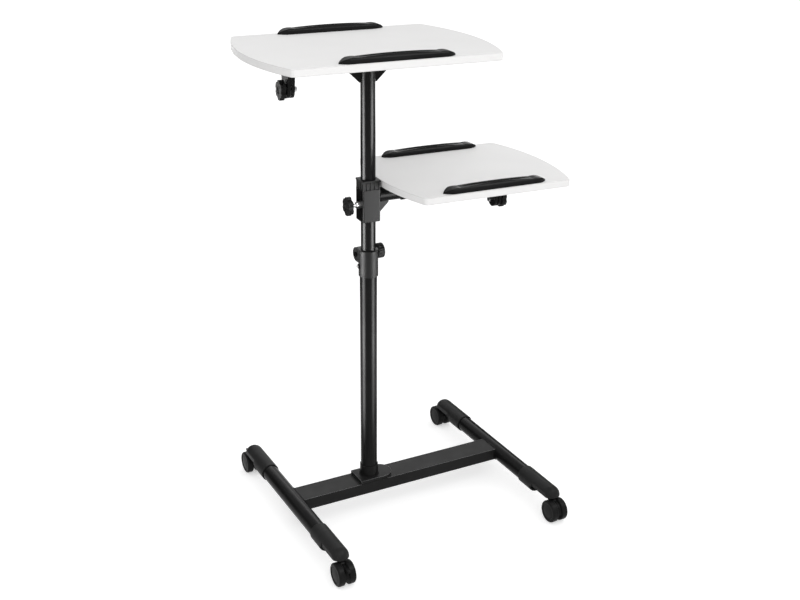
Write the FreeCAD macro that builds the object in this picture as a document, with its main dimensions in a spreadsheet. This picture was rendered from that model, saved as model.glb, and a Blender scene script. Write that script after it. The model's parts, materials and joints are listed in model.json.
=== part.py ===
# Two-shelf projector table on casters, in millimetres, +Z up.
# The origin lies on the floor, under the middle of the whole table.
import FreeCAD, Part
import math
import operator
import os
import Sketcher

SIZES = {
    # Floor frame
    "foot_height": (57, "foot tube axis above the floor"),
    "foot_radius": (19, "foot tube outside radius"),
    "left_foot_reach": (193, "column axis to the left foot axis"),
    "right_foot_reach": (347, "column axis to the right foot axis"),
    "tube_wall": (1.5, "wall of every steel tube"),
    "cross_width": (58, "crossbar, front to back"),
    "cross_depth": (28, "crossbar, top to bottom"),
    "plate_left": (33, "base plate, column axis to its square end"),
    "plate_right": (55, "base plate, column axis to its round end"),
    "plate_thickness": (7.7, "base plate"),
    "socket_height": (27, "cup that holds the column foot"),
    "socket_wall": (2.6, "cup wall at its foot"),
    "socket_taper": (0.8, "how much the cup narrows to its rim"),
    # End caps and casters
    "cap_radius": (21.5, "end cap outside radius"),
    "cap_rim": (140, "crossbar line to the open rim of a cap"),
    "cap_rim_round": (1.2, "rounded rim of a cap"),
    "cap_step": (187, "crossbar line to the step that clears the caster"),
    "cap_flank": (19, "half width of the cap over the caster"),
    "cap_flank_reach": (196, "crossbar line to the flat sides of a cap"),
    "stem_reach": (243, "crossbar line to the caster stem"),
    "stem_radius": (5.5, "caster stem"),
    "stem_length": (14, "caster stem inside the cap"),
    "wheel_radius": (26, "caster wheel"),
    "wheel_width": (15, "one wheel of the pair"),
    "wheel_gap": (10, "between the two wheels of a caster"),
    "wheel_edge": (1.5, "bevel of the inner tread corner"),
    "wheel_shoulder": (4, "rounding of the outer tread corner"),
    "wheel_rim": (2.5, "flat ring round the domed wheel face"),
    "wheel_groove": (1.2, "depth of the groove round the domed face"),
    "wheel_cover": (4, "wheel face over the axle end"),
    "caster_trail": (20, "stem axis to the wheel axle"),
    "caster_web": (8, "housing between the wheels"),
    "hood_radius": (22.5, "rounded front of the housing"),
    "hood_lip": (3, "hood below the axle"),
    "boss_radius": (7, "housing round the axle"),
    "axle_radius": (3, "caster axle"),
    "neck_radius": (10, "swivel neck under the cap"),
    "neck_height": (4, "swivel neck under the cap"),
    "brake_reach": (50, "stem axis to the tip of the brake lever"),
    "brake_root": (30, "stem axis to the root of the brake lever"),
    "brake_rise": (21, "wheel axle up to the top of the lever tip"),
    "brake_thickness": (4, "brake lever"),
    # Column
    "mast_turn": (-4.1, "degrees the mast stands turned about the column"),
    "shelf_turn": (-3.1, "degrees the shelf stands turned about the column"),
    "lower_radius": (19, "lower column tube"),
    "mast_radius": (16, "mast, cross tube and shelf arm"),
    "mast_foot_height": (437, "lower end of the mast inside the column"),
    "collar_foot_height": (577, "lower end of the clamp collar"),
    "collar_height": (60, "clamp collar"),
    "collar_overlap": (35, "collar length that sits on the lower tube"),
    "collar_radius": (21.5, "clamp collar outside radius"),
    "collar_round": (1.5, "rounded upper edge of the collar"),
    "ear_rise": (42, "collar foot up to the pinch bolt"),
    "ear_radius": (16, "rounded ears of the collar"),
    "ear_reach": (27, "column axis to the pinch bolt"),
    "ear_left": (16.5, "column axis to the outside of the left ear"),
    "ear_right": (12, "column axis to the outside of the right ear"),
    "ear_slit": (3, "slit between the ears"),
    "gusset_leg": (28, "mast gussets, along the cross tube"),
    "gusset_drop": (27, "mast gussets, down the mast"),
    "gusset_blunt": (3, "blunt tip of a gusset"),
    "gusset_thickness": (4, "every gusset"),
    # Upper table
    "table_height": (1078.4, "upper table top above the floor"),
    "board_thickness": (15, "both boards"),
    "board_round": (1, "rounded board edges"),
    "table_shift": (-11.5, "column axis to the middle of the upper board"),
    "table_chord": (434, "upper board, corner to corner along the front"),
    "table_bulge": (37, "upper board, bow of each end"),
    "table_depth": (390, "upper board, front to back"),
    "corner_radius": (10, "rounded board corners"),
    "pivot_drop": (19, "board underside to its tilt axis"),
    "table_clamp_reach": (171.5, "column axis to the upper clamp bracket"),
    "table_saddle_reach": (110, "column axis to the upper saddle"),
    "cross_tube_right": (161, "column axis to the right end of the cross tube"),
    # Side shelf
    "shelf_height": (792.3, "shelf top above the floor"),
    "shelf_shift": (224, "column axis to the middle of the shelf"),
    "shelf_ledge_shift": (221, "column axis to the middle of the shelf ledges"),
    "shelf_chord": (340, "shelf, corner to corner along the front"),
    "shelf_bulge": (29, "shelf, bow of each end"),
    "shelf_depth": (341, "shelf, front to back"),
    "shelf_clamp_reach": (309.5, "column axis to the shelf clamp bracket"),
    "shelf_saddle_reach": (86, "column axis to the shelf saddle"),
    "sleeve_width": (40, "square sleeve"),
    "sleeve_wall": (2, "square sleeve"),
    "sleeve_corner": (2, "rounded corners of the sleeve"),
    "sleeve_height": (71, "square sleeve"),
    "sleeve_rise": (17, "shelf arm axis to the sleeve top"),
    "sleeve_screw_drop": (18.5, "shelf arm axis down to the sleeve screw"),
    "bush_band": (16, "ribbed band of the bush above the sleeve"),
    "bush_band_width": (38.6, "ribbed band of the bush"),
    "bush_notch": (4.6, "gap between two ribs of the bush"),
    "bush_notch_pitch": (9.2, "spacing of those gaps"),
    "bush_notch_depth": (1.5, "depth of those gaps"),
    "bush_flange": (4, "flange on top of the bush"),
    "bush_flange_width": (41.4, "flange on top of the bush"),
    "arm_gusset_leg": (20, "gusset under the shelf arm"),
    # Tilt fittings
    "clamp_drop": (45, "tilt axis to the clamp bolt"),
    "clamp_width": (15, "clamp bracket, outside its two cheeks"),
    "clamp_cheek": (6, "each cheek of the clamp bracket, beside its slit"),
    "clamp_top": (58, "clamp bracket under the board, front to back"),
    "clamp_waist": (46, "clamp bracket at the tilt axis, front to back"),
    "clamp_end": (17, "rounded lower end of the clamp bracket"),
    "tube_overhang": (4, "tube end past its clamp bracket"),
    "plug_cap": (2, "flat head of a tube plug"),
    "plug_depth": (10, "tube plug inside its tube"),
    "saddle_width": (20, "saddle strap along the tube"),
    "saddle_strap": (2.5, "saddle strap thickness"),
    "saddle_foot": (17, "saddle foot that is screwed to the board"),
    "bolt_radius": (3, "clamp and pinch bolts"),
    "bolt_end": (9, "bolt end past its bracket"),
    "nut_radius": (5.5, "nut, centre to corner"),
    "nut_height": (4, "nut on a bolt end"),
    # Ledges
    "ledge_length": (242, "stop ledges"),
    "ledge_width": (25, "stop ledges"),
    "ledge_height": (14, "stop ledges at their middle"),
    "ledge_shoulder": (11, "stop ledges where their ends begin to drop"),
    "ledge_tip": (2.5, "stop ledges at their very ends"),
    "ledge_end": (36, "length over which each end drops"),
    "ledge_inset": (4, "board edge to ledge"),
    "ledge_side": (4, "upright side of a ledge"),
    "ledge_ridge": (7, "middle of a ledge to each of its two ridges"),
    "ledge_valley": (4.5, "depth of the valley between the ridges"),
    "ledge_valley_reach": (178, "half the length of the spindle that hollows the valley"),
    # Knobs
    "knob_radius": (20.5, "lobed knobs"),
    "knob_head": (10.5, "thickness of a knob head"),
    "knob_hub": (3, "length of a knob hub"),
    "knob_hub_radius": (11, "hub of a knob"),
    "knob_lobes": (6, "lobes of a knob"),
    "knob_scallop": (7, "radius of the hollows between lobes"),
    "knob_bite": (3.6, "depth of those hollows"),
    "knob_round": (1.2, "rounded outer edge of a knob"),
    "knob_dish_radius": (8, "shallow dish in the face of a knob"),
    "knob_dish": (1, "depth of that dish"),
    "stud_radius": (4, "threaded stud of the sleeve screw"),
    "stud_length": (18, "stud that shows between sleeve and knob"),
    "stud_nut_radius": (7.5, "nut welded to the sleeve, centre to corner"),
    "stud_nut_height": (8, "nut welded to the sleeve"),
    "collar_knob_radius": (17, "ribbed collar knob"),
    "collar_knob_head": (15, "thickness of the collar knob"),
    "collar_knob_hub": (20, "neck of the collar knob"),
    "collar_knob_hub_radius": (7, "neck of the collar knob"),
    "collar_knob_ribs": (16, "ribs of the collar knob"),
    "collar_knob_scallop": (2, "radius of the hollows between its ribs"),
    "collar_knob_bite": (1.1, "depth of those hollows"),
    # Clearances
    "weld_gap": (0.1, "between welded or seated pieces"),
    "running_fit": (0.08, "radial clearance of a shaft in its hole"),
    "face_gap": (0.3, "between faces that turn past each other"),
}

OPERATORS = {"+": operator.add, "-": operator.sub, "*": operator.mul, "/": operator.truediv}


class Size:
    """A length that keeps its spreadsheet expression beside its number."""

    def __init__(self, text, value):
        self.text = text
        self.value = value

    def join(self, sign, other):
        other = as_size(other)
        return Size(f"({self.text} {sign} {other.text})", OPERATORS[sign](self.value, other.value))

    def __add__(self, other):
        return self.join("+", other)

    def __sub__(self, other):
        return self.join("-", other)

    def __mul__(self, other):
        return self.join("*", other)

    def __truediv__(self, other):
        return self.join("/", other)

    def __neg__(self):
        return Size(f"(0 - {self.text})", -self.value)


def as_size(value):
    return value if isinstance(value, Size) else Size(str(value), value)


def cosine(angle):
    return Size(f"cos({angle.text})", math.cos(math.radians(angle.value)))


def sine(angle):
    return Size(f"sin({angle.text})", math.sin(math.radians(angle.value)))


class Sheet:
    """The driving dimensions, each one a cell with an alias."""

    def __init__(self, document, sizes):
        self.cells = document.addObject("Spreadsheet::Sheet", "sizes")
        for row, (alias, (value, note)) in enumerate(sizes.items(), 1):
            self.cells.set(f"A{row}", note)
            self.cells.set(f"B{row}", str(value))
            self.cells.setAlias(f"B{row}", alias)
            setattr(self, alias, Size(f"sizes.{alias}", value))


doc = FreeCAD.newDocument("projector_table")
s = Sheet(doc, SIZES)
doc.recompute()
nodes = []


# Drawing helpers

def bind(target, **values):
    for name, value in values.items():
        target.setExpression(name.replace("__", "."), as_size(value).text)


def new_body(label, x=0, y=0, z=0, swing=None, flip=False):
    """A body placed from the column axis and swung about it with the group that carries it."""
    body = doc.addObject("PartDesign::Body", label)
    x, y, angle = as_size(x), as_size(y), as_size(180 if flip else 0)
    if swing is not None:
        x, y = x * cosine(swing) - y * sine(swing), x * sine(swing) + y * cosine(swing)
        angle = angle + swing
    upright = FreeCAD.Rotation(FreeCAD.Vector(0, 0, 1), 1)
    body.Placement = FreeCAD.Placement(FreeCAD.Vector(), upright)
    bind(body, Placement__Base__x=column_x + x, Placement__Base__y=y, Placement__Base__z=z,
         Placement__Rotation__Angle=angle)
    nodes.append(body)
    return body


def sketch_on(body, role, lift=0):
    """A sketch on an origin plane: XY looks up, XZ towards -Y, YZ towards +X."""
    plane = next(item for item in body.Origin.OriginFeatures if item.Role == role)
    sketch = body.newObject("Sketcher::SketchObject", f"{body.Name}_sketch")
    sketch.AttachmentSupport = [(plane, "")]
    sketch.MapMode = "FlatFace"
    bind(sketch, AttachmentOffset__Base__z=lift)
    return sketch


def tie(sketch, constraint, value):
    index = sketch.addConstraint(constraint)
    name = f"size_{index}"
    sketch.renameConstraint(index, name)
    bind(sketch, **{f"Constraints__{name}": value})


def tie_point(sketch, geometry, end, x, y):
    for kind, value in (("DistanceX", as_size(x)), ("DistanceY", as_size(y))):
        tie(sketch, Sketcher.Constraint(kind, -1, 1, geometry, end, value.value), value)


def circle(sketch, x, y, radius):
    x, y, radius = as_size(x), as_size(y), as_size(radius)
    centre = FreeCAD.Vector(x.value, y.value, 0)
    index = sketch.addGeometry(Part.Circle(centre, FreeCAD.Vector(0, 0, 1), radius.value))
    tie_point(sketch, index, 3, x, y)
    tie(sketch, Sketcher.Constraint("Radius", index, radius.value), radius)


def vector(point):
    return FreeCAD.Vector(as_size(point[0]).value, as_size(point[1]).value, 0)


def outline(sketch, corners):
    """Close a loop through the corners. A corner (x, y, (x, y)) starts an arc via that point."""
    ends = []
    for place_in_loop, corner in enumerate(corners):
        start = vector(corner)
        stop = vector(corners[(place_in_loop + 1) % len(corners)])
        if len(corner) == 2:
            index = sketch.addGeometry(Part.LineSegment(start, stop))
            ends.append((index, 1, 2))
            continue
        via = vector(corner[2])
        turns_left = (via - start).cross(stop - via).z > 0
        first, last = (start, stop) if turns_left else (stop, start)
        index = sketch.addGeometry(Part.Arc(first, via, last))
        ends.append((index, 1, 2) if turns_left else (index, 2, 1))
        on_arc = sketch.addGeometry(Part.Point(via), True)
        sketch.addConstraint(Sketcher.Constraint("PointOnObject", on_arc, 1, index))
        tie_point(sketch, on_arc, 1, *corner[2])
    for place_in_loop, (index, tail, head) in enumerate(ends):
        following, next_tail, _ = ends[(place_in_loop + 1) % len(ends)]
        sketch.addConstraint(Sketcher.Constraint("Coincident", index, head, following, next_tail))
        tie_point(sketch, index, tail, *corners[place_in_loop][:2])


def rectangle(sketch, x_low, x_high, y_low, y_high):
    outline(sketch, [(x_low, y_low), (x_high, y_low), (x_high, y_high), (x_low, y_high)])


def feature(body, kind, sketch):
    item = body.newObject(f"PartDesign::{kind}", f"{body.Name}_{kind.lower()}")
    item.Profile = sketch
    sketch.Visibility = False
    return item


def pad(body, sketch, length, middle=False):
    item = feature(body, "Pad", sketch)
    item.Midplane = middle
    bind(item, Length=length)
    return item


def pocket(body, sketch, length, middle=False, reverse=False):
    item = feature(body, "Pocket", sketch)
    item.Midplane = middle
    item.Reversed = reverse
    bind(item, Length=length)
    return item


def revolve(body, sketch, axis, kind="Revolution"):
    item = feature(body, kind, sketch)
    item.ReferenceAxis = (sketch, [axis])
    item.Angle = 360
    return item


def repeat_round(body, item, axis_sketch, count):
    pattern = body.newObject("PartDesign::PolarPattern", f"{body.Name}_pattern")
    pattern.Originals = [item]
    pattern.Axis = (axis_sketch, ["N_Axis"])
    pattern.Angle = 360
    bind(pattern, Occurrences=count)
    body.Tip = pattern


def fillet(body, base, chosen, radius):
    """Round the edges of a feature that the chosen test accepts."""
    doc.recompute()
    names = [f"Edge{number}" for number, edge in enumerate(base.Shape.Edges, 1) if chosen(edge)]
    item = body.newObject("PartDesign::Fillet", f"{body.Name}_fillet")
    item.Base = (base, names)
    bind(item, Radius=radius)
    return item


def is_upright(edge):
    tangent = edge.tangentAt(edge.FirstParameter)
    return abs(abs(tangent.z) - 1) < 1e-6


def is_ring(edge, radius, **centre):
    """Whether an edge is a circle of that radius, centred at the given coordinate."""
    if edge.Degenerated or not isinstance(edge.Curve, Part.Circle):
        return False
    offsets = [getattr(edge.Curve.Center, axis) - place.value for axis, place in centre.items()]
    offsets.append(edge.Curve.Radius - radius.value)
    return max(abs(offset) for offset in offsets) < 1e-6


# Places that several pieces share

def board_reach(middle, chord, bulge, depth, turn):
    """How far the bowed end of a turned board reaches along the crossbar."""
    bow = (depth * depth / 4 + bulge * bulge) / (bulge * 2)
    return bow - (bow - middle - chord / 2 - bulge) * cosine(turn)


left_reach = board_reach(-s.table_shift, s.table_chord, s.table_bulge, s.table_depth, s.mast_turn)
right_reach = board_reach(s.shelf_shift, s.shelf_chord, s.shelf_bulge, s.shelf_depth, s.shelf_turn)
column_x = (left_reach - right_reach) / 2
cross_top = s.foot_height + s.cross_depth / 2
plate_top = cross_top + s.plate_thickness
cap_floor = s.foot_height
ear_height = s.collar_foot_height + s.ear_rise
table_axis = s.table_height - s.board_thickness - s.pivot_drop
shelf_axis = s.shelf_height - s.board_thickness - s.pivot_drop
sleeve_top = shelf_axis + s.sleeve_rise
sleeve_bottom = sleeve_top - s.sleeve_height
sleeve_screw = shelf_axis - s.sleeve_screw_drop
sleeve_half = s.sleeve_width / 2
tube_hole = s.mast_radius + s.running_fit
bolt_hole = s.bolt_radius + s.running_fit
stud_hole = s.stud_radius + s.running_fit
cross_tube_left = s.table_clamp_reach + s.clamp_width / 2 + s.tube_overhang
arm_end = s.shelf_clamp_reach + s.clamp_width / 2 + s.tube_overhang
DIAGONAL = math.sqrt(0.5)
SIDES = (("left", -s.left_foot_reach), ("right", s.right_foot_reach))
ENDS = (("front", -1, False), ("rear", 1, True))


# Floor frame

def tube(body, role, lift, radius, length, middle=False):
    section = sketch_on(body, role, lift)
    circle(section, 0, 0, radius)
    circle(section, 0, 0, radius - s.tube_wall)
    return pad(body, section, length, middle)


def cope(body, role, x, y, radius, length):
    """Shape a tube end to the round tube that it is welded to."""
    section = sketch_on(body, role)
    circle(section, x, y, radius + s.weld_gap)
    return pocket(body, section, length, middle=True)


def make_crossbar():
    body = new_body("crossbar", z=s.foot_height)
    section = sketch_on(body, "YZ_Plane", -s.left_foot_reach)
    half_width, half_depth = s.cross_width / 2, s.cross_depth / 2
    rectangle(section, -half_width, half_width, -half_depth, half_depth)
    inner_width, inner_depth = half_width - s.tube_wall, half_depth - s.tube_wall
    rectangle(section, -inner_width, inner_width, -inner_depth, inner_depth)
    pad(body, section, s.left_foot_reach + s.right_foot_reach)
    for _, reach in SIDES:
        cope(body, "XZ_Plane", reach, 0, s.foot_radius, s.cross_width * 2)


def make_foot(side, reach):
    body = new_body(f"foot_{side}", reach, 0, s.foot_height)
    tube(body, "XZ_Plane", 0, s.foot_radius, (s.cap_step - s.weld_gap) * 2, middle=True)


def make_cap(end, side, reach, flip):
    body = new_body(f"cap_{end}_{side}", reach, 0, s.foot_height, flip=flip)
    profile = sketch_on(body, "YZ_Plane")
    bore = s.foot_radius + s.weld_gap
    nose = s.cap_radius * DIAGONAL
    outline(profile, [
        (-s.cap_rim, bore),
        (-s.cap_rim, s.cap_radius),
        (-s.stem_reach, s.cap_radius, (-s.stem_reach - nose, nose)),
        (-s.stem_reach - s.cap_radius, 0),
        (-s.cap_step, 0),
        (-s.cap_step, bore),
    ])
    cup = revolve(body, profile, "H_Axis")
    fillet(body, cup, lambda edge: is_ring(edge, s.cap_radius, y=-s.cap_rim), s.cap_rim_round)
    far_end = -s.stem_reach - s.cap_radius * 2
    under = sketch_on(body, "YZ_Plane")
    rectangle(under, far_end, -s.cap_step, -s.cap_radius * 2, 0)
    pocket(body, under, s.cap_radius * 4, middle=True)
    flanks = sketch_on(body, "XY_Plane")
    rectangle(flanks, s.cap_flank, s.cap_radius * 2, far_end, -s.cap_flank_reach)
    rectangle(flanks, -s.cap_radius * 2, -s.cap_flank, far_end, -s.cap_flank_reach)
    pocket(body, flanks, s.cap_radius * 4, middle=True)
    socket = sketch_on(body, "XY_Plane")
    circle(socket, 0, -s.stem_reach, s.stem_radius + s.running_fit)
    pocket(body, socket, s.stem_length + s.face_gap, reverse=True)


def make_base_plate():
    body = new_body("base_plate", z=cross_top)
    shape = sketch_on(body, "XY_Plane")
    half = s.cross_width / 2
    outline(shape, [
        (-s.plate_left, -half),
        (s.plate_right - half, -half, (s.plate_right, 0)),
        (s.plate_right - half, half),
        (-s.plate_left, half),
    ])
    pad(body, shape, s.plate_thickness)


def make_socket():
    body = new_body("column_socket", z=plate_top)
    profile = sketch_on(body, "XZ_Plane")
    inside = s.lower_radius + s.weld_gap
    outside = inside + s.socket_wall
    outline(profile, [
        (inside, 0),
        (outside, 0),
        (outside - s.socket_taper, s.socket_height),
        (inside, s.socket_height),
    ])
    revolve(body, profile, "V_Axis")


# Casters

def make_caster(end, side, reach, sign, flip):
    name = f"caster_{end}_{side}"
    make_caster_housing(f"{name}_housing", reach, s.stem_reach * sign, flip, braked=side == "left")
    axle_y = (s.stem_reach + s.caster_trail) * sign
    make_wheel(f"{name}_wheel_right", reach, axle_y, False)
    make_wheel(f"{name}_wheel_left", reach, axle_y, True)


def make_caster_housing(label, x, y, flip, braked):
    """A web with a rounded hood between the wheels, on a swivel neck and stem."""
    body = new_body(label, x, y, flip=flip)
    axle_y, axle_z = -s.caster_trail, s.wheel_radius
    top = cap_floor - s.face_gap
    lip = axle_z - s.hood_lip
    bend = s.hood_radius * DIAGONAL
    web = sketch_on(body, "YZ_Plane")
    outline(web, [
        (s.neck_radius, top - s.neck_height),
        (s.neck_radius, top),
        (-s.neck_radius, top),
        (axle_y, axle_z + s.hood_radius, (axle_y - bend, axle_z + bend)),
        (axle_y - s.hood_radius, axle_z),
        (axle_y - s.hood_radius, lip),
        (axle_y + s.boss_radius, lip),
    ])
    pad(body, web, s.caster_web, middle=True)
    if braked:
        tip_top = axle_z + s.brake_rise
        lever = sketch_on(body, "YZ_Plane")
        outline(lever, [
            (-s.brake_root, tip_top),
            (-s.brake_reach, tip_top),
            (-s.brake_reach, tip_top - s.brake_thickness),
            (-s.brake_root, tip_top - s.brake_thickness * 2),
        ])
        pad(body, lever, s.caster_web, middle=True)
    neck = sketch_on(body, "XY_Plane", top - s.neck_height)
    circle(neck, 0, 0, s.neck_radius)
    pad(body, neck, s.neck_height)
    stem = sketch_on(body, "XY_Plane", top)
    circle(stem, 0, 0, s.stem_radius)
    pad(body, stem, s.stem_length)
    boss = sketch_on(body, "YZ_Plane")
    circle(boss, axle_y, axle_z, s.boss_radius)
    pad(body, boss, s.wheel_gap - s.face_gap * 2, middle=True)
    axle = sketch_on(body, "YZ_Plane")
    circle(axle, axle_y, axle_z, s.axle_radius)
    pad(body, axle, s.wheel_gap + (s.wheel_width - s.wheel_cover - s.face_gap) * 2, middle=True)


def make_wheel(label, x, y, flip):
    """One wheel of a pair, drawn on the +X side: rounded tread, ring, groove and domed face."""
    body = new_body(label, x, y, s.wheel_radius, flip=flip)
    profile = sketch_on(body, "XY_Plane")
    inner = s.wheel_gap / 2
    outer = inner + s.wheel_width
    bore = s.axle_radius + s.running_fit
    bore_end = outer - s.wheel_cover
    corner = s.wheel_radius - s.wheel_shoulder
    bend = s.wheel_shoulder * DIAGONAL
    dome = corner - s.wheel_rim - s.wheel_groove
    outline(profile, [
        (inner, bore),
        (inner, s.wheel_radius - s.wheel_edge),
        (inner + s.wheel_edge, s.wheel_radius),
        (outer - s.wheel_shoulder, s.wheel_radius, (outer - s.wheel_shoulder + bend, corner + bend)),
        (outer, corner),
        (outer, corner - s.wheel_rim),
        (outer - s.wheel_groove, dome, (outer - s.wheel_groove / 4, dome / 2)),
        (outer, 0),
        (bore_end, 0),
        (bore_end, bore),
    ])
    revolve(body, profile, "H_Axis")


# Column

def make_lower_mast():
    body = new_body("lower_mast", z=plate_top)
    tube(body, "XY_Plane", 0, s.lower_radius, s.collar_foot_height + s.collar_overlap - plate_top)


def make_collar():
    """A stepped ring on the lower tube, slit behind between two pinch ears."""
    body = new_body("clamp_collar", z=s.collar_foot_height)
    ring = sketch_on(body, "XY_Plane")
    circle(ring, 0, 0, s.collar_radius)
    barrel = pad(body, ring, s.collar_height)
    fillet(body, barrel, lambda edge: is_ring(edge, s.collar_radius, z=s.collar_height), s.collar_round)
    ears = sketch_on(body, "YZ_Plane", -s.ear_left)
    outline(ears, [
        (s.ear_reach / 2, s.ear_rise - s.ear_radius),
        (s.ear_reach, s.ear_rise - s.ear_radius, (s.ear_reach + s.ear_radius, s.ear_rise)),
        (s.ear_reach, s.ear_rise + s.ear_radius),
        (s.ear_reach / 2, s.ear_rise + s.ear_radius),
    ])
    pad(body, ears, s.ear_left + s.ear_right)
    seat = sketch_on(body, "XY_Plane")
    circle(seat, 0, 0, s.lower_radius + s.weld_gap)
    pocket(body, seat, s.collar_overlap, reverse=True)
    guide = sketch_on(body, "XY_Plane")
    circle(guide, 0, 0, tube_hole)
    pocket(body, guide, s.collar_height * 2, reverse=True)
    past_ears = s.ear_reach + s.ear_radius * 2
    slit = sketch_on(body, "YZ_Plane")
    rectangle(slit, s.mast_radius / 2, past_ears, s.collar_overlap, s.collar_height * 2)
    pocket(body, slit, s.ear_slit, middle=True)
    slot = sketch_on(body, "YZ_Plane")
    rectangle(slot, s.collar_radius, past_ears, 0, s.collar_height * 2)
    pocket(body, slot, s.ear_slit, middle=True)
    hole = sketch_on(body, "YZ_Plane")
    circle(hole, s.ear_reach, s.ear_rise, bolt_hole)
    pocket(body, hole, (s.ear_left + s.ear_right) * 2, middle=True)


def make_mast():
    body = new_body("mast", z=s.mast_foot_height, swing=s.mast_turn)
    rise = table_axis - s.mast_foot_height
    tube(body, "XY_Plane", 0, s.mast_radius, rise)
    cope(body, "YZ_Plane", 0, rise, s.mast_radius, s.mast_radius * 4)


def make_cross_tube():
    body = new_body("cross_tube", z=table_axis, swing=s.mast_turn)
    tube(body, "YZ_Plane", -cross_tube_left, s.mast_radius, cross_tube_left + s.cross_tube_right)


def make_plug(label, x, z, swing, flip=False):
    """A flat-headed plug in an open tube end, drawn on the +X side."""
    body = new_body(label, x, 0, z, swing, flip)
    head = sketch_on(body, "YZ_Plane", s.weld_gap)
    circle(head, 0, 0, s.mast_radius)
    pad(body, head, s.plug_cap)
    spigot = sketch_on(body, "YZ_Plane", -s.plug_depth)
    circle(spigot, 0, 0, s.mast_radius - s.tube_wall - s.weld_gap)
    pad(body, spigot, s.plug_depth + s.weld_gap)


def make_gusset(label, axis_height, start, leg, drop, swing, flip=False):
    body = new_body(label, z=axis_height, swing=swing, flip=flip)
    shape = sketch_on(body, "XZ_Plane")
    top = -s.mast_radius - s.weld_gap
    inner = start + s.weld_gap
    outline(shape, [
        (inner, top),
        (inner + leg, top),
        (inner + leg, top - s.gusset_blunt),
        (inner + s.gusset_blunt, top - drop),
        (inner, top - drop),
    ])
    pad(body, shape, s.gusset_thickness, middle=True)


# Boards and what they carry

def make_board(label, top, shift, chord, bulge, depth, swing):
    body = new_body(label, shift, 0, top - s.board_thickness, swing)
    shape = sketch_on(body, "XY_Plane")
    half_chord, half_depth = chord / 2, depth / 2
    outline(shape, [
        (-half_chord, -half_depth),
        (half_chord, -half_depth, (half_chord + bulge, 0)),
        (half_chord, half_depth),
        (-half_chord, half_depth, (-half_chord - bulge, 0)),
    ])
    slab = pad(body, shape, s.board_thickness)
    rounded = fillet(body, slab, is_upright, s.corner_radius)
    fillet(body, rounded, lambda edge: not is_upright(edge), s.board_round)


def make_ledge(label, top, shift, y, swing):
    """A boat-shaped stop: a crowned bar with round, falling ends, hollowed by a long spindle."""
    body = new_body(label, shift, y, top, swing)
    half_width, half_length = s.ledge_width / 2, s.ledge_length / 2
    shoulder_y = (half_width - s.ledge_ridge) * DIAGONAL + s.ledge_ridge
    shoulder_z = (s.ledge_height - s.ledge_side) * DIAGONAL + s.ledge_side
    section = sketch_on(body, "YZ_Plane")
    outline(section, [
        (-half_width, 0),
        (half_width, 0),
        (half_width, s.ledge_side, (shoulder_y, shoulder_z)),
        (s.ledge_ridge, s.ledge_height),
        (-s.ledge_ridge, s.ledge_height, (-shoulder_y, shoulder_z)),
        (-half_width, s.ledge_side),
    ])
    pad(body, section, s.ledge_length, middle=True)
    plan = sketch_on(body, "XY_Plane")
    straight = half_length - s.ledge_end
    nose_x, nose_y = straight + s.ledge_end * DIAGONAL, half_width * DIAGONAL
    rectangle(plan, -s.ledge_length, s.ledge_length, -s.ledge_width, s.ledge_width)
    outline(plan, [
        (-straight, -half_width),
        (straight, -half_width, (nose_x, -nose_y)),
        (half_length, 0, (nose_x, nose_y)),
        (straight, half_width),
        (-straight, half_width, (-nose_x, nose_y)),
        (-half_length, 0, (-nose_x, -nose_y)),
    ])
    pocket(body, plan, s.ledge_height * 2, reverse=True)
    crown = sketch_on(body, "XZ_Plane")
    fall_x = straight + s.ledge_end * DIAGONAL
    fall_z = s.ledge_tip + (s.ledge_shoulder - s.ledge_tip) * DIAGONAL
    above = s.ledge_height * 2
    outline(crown, [
        (-half_length, s.ledge_tip, (-fall_x, fall_z)),
        (-straight, s.ledge_shoulder, (0, s.ledge_height)),
        (straight, s.ledge_shoulder, (fall_x, fall_z)),
        (half_length, s.ledge_tip),
        (half_length, above),
        (-half_length, above),
    ])
    pocket(body, crown, s.ledge_width * 2, middle=True)
    radius = s.ledge_ridge * s.ledge_ridge / (s.ledge_valley * 2) + s.ledge_valley / 2
    valley = sketch_on(body, "XZ_Plane")
    bind(valley, AttachmentOffset__Base__y=s.ledge_height + radius - s.ledge_valley)
    outline(valley, [(s.ledge_valley_reach, 0), (-s.ledge_valley_reach, 0, (0, -radius))])
    revolve(body, valley, "H_Axis", "Groove")


def make_clamp_bracket(label, x, axis_height, swing):
    """A block under the board, slit into two cheeks that pass the tube and taper to the clamp bolt."""
    body = new_body(label, x, 0, axis_height, swing)
    plates = sketch_on(body, "YZ_Plane")
    half_top, half_waist = s.clamp_top / 2, s.clamp_waist / 2
    outline(plates, [
        (half_top, s.pivot_drop),
        (-half_top, s.pivot_drop),
        (-half_waist, 0),
        (-s.clamp_end, -s.clamp_drop, (0, -s.clamp_drop - s.clamp_end)),
        (s.clamp_end, -s.clamp_drop),
        (half_waist, 0),
    ])
    pad(body, plates, s.clamp_width, middle=True)
    gap = sketch_on(body, "XZ_Plane")
    half_gap = s.clamp_width / 2 - s.clamp_cheek
    rectangle(gap, -half_gap, half_gap, -s.clamp_drop * 2, s.pivot_drop - s.clamp_cheek)
    pocket(body, gap, s.clamp_top * 2, middle=True)
    holes = sketch_on(body, "YZ_Plane")
    circle(holes, 0, 0, tube_hole)
    circle(holes, 0, -s.clamp_drop, bolt_hole)
    pocket(body, holes, s.clamp_width * 2, middle=True)


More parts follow.
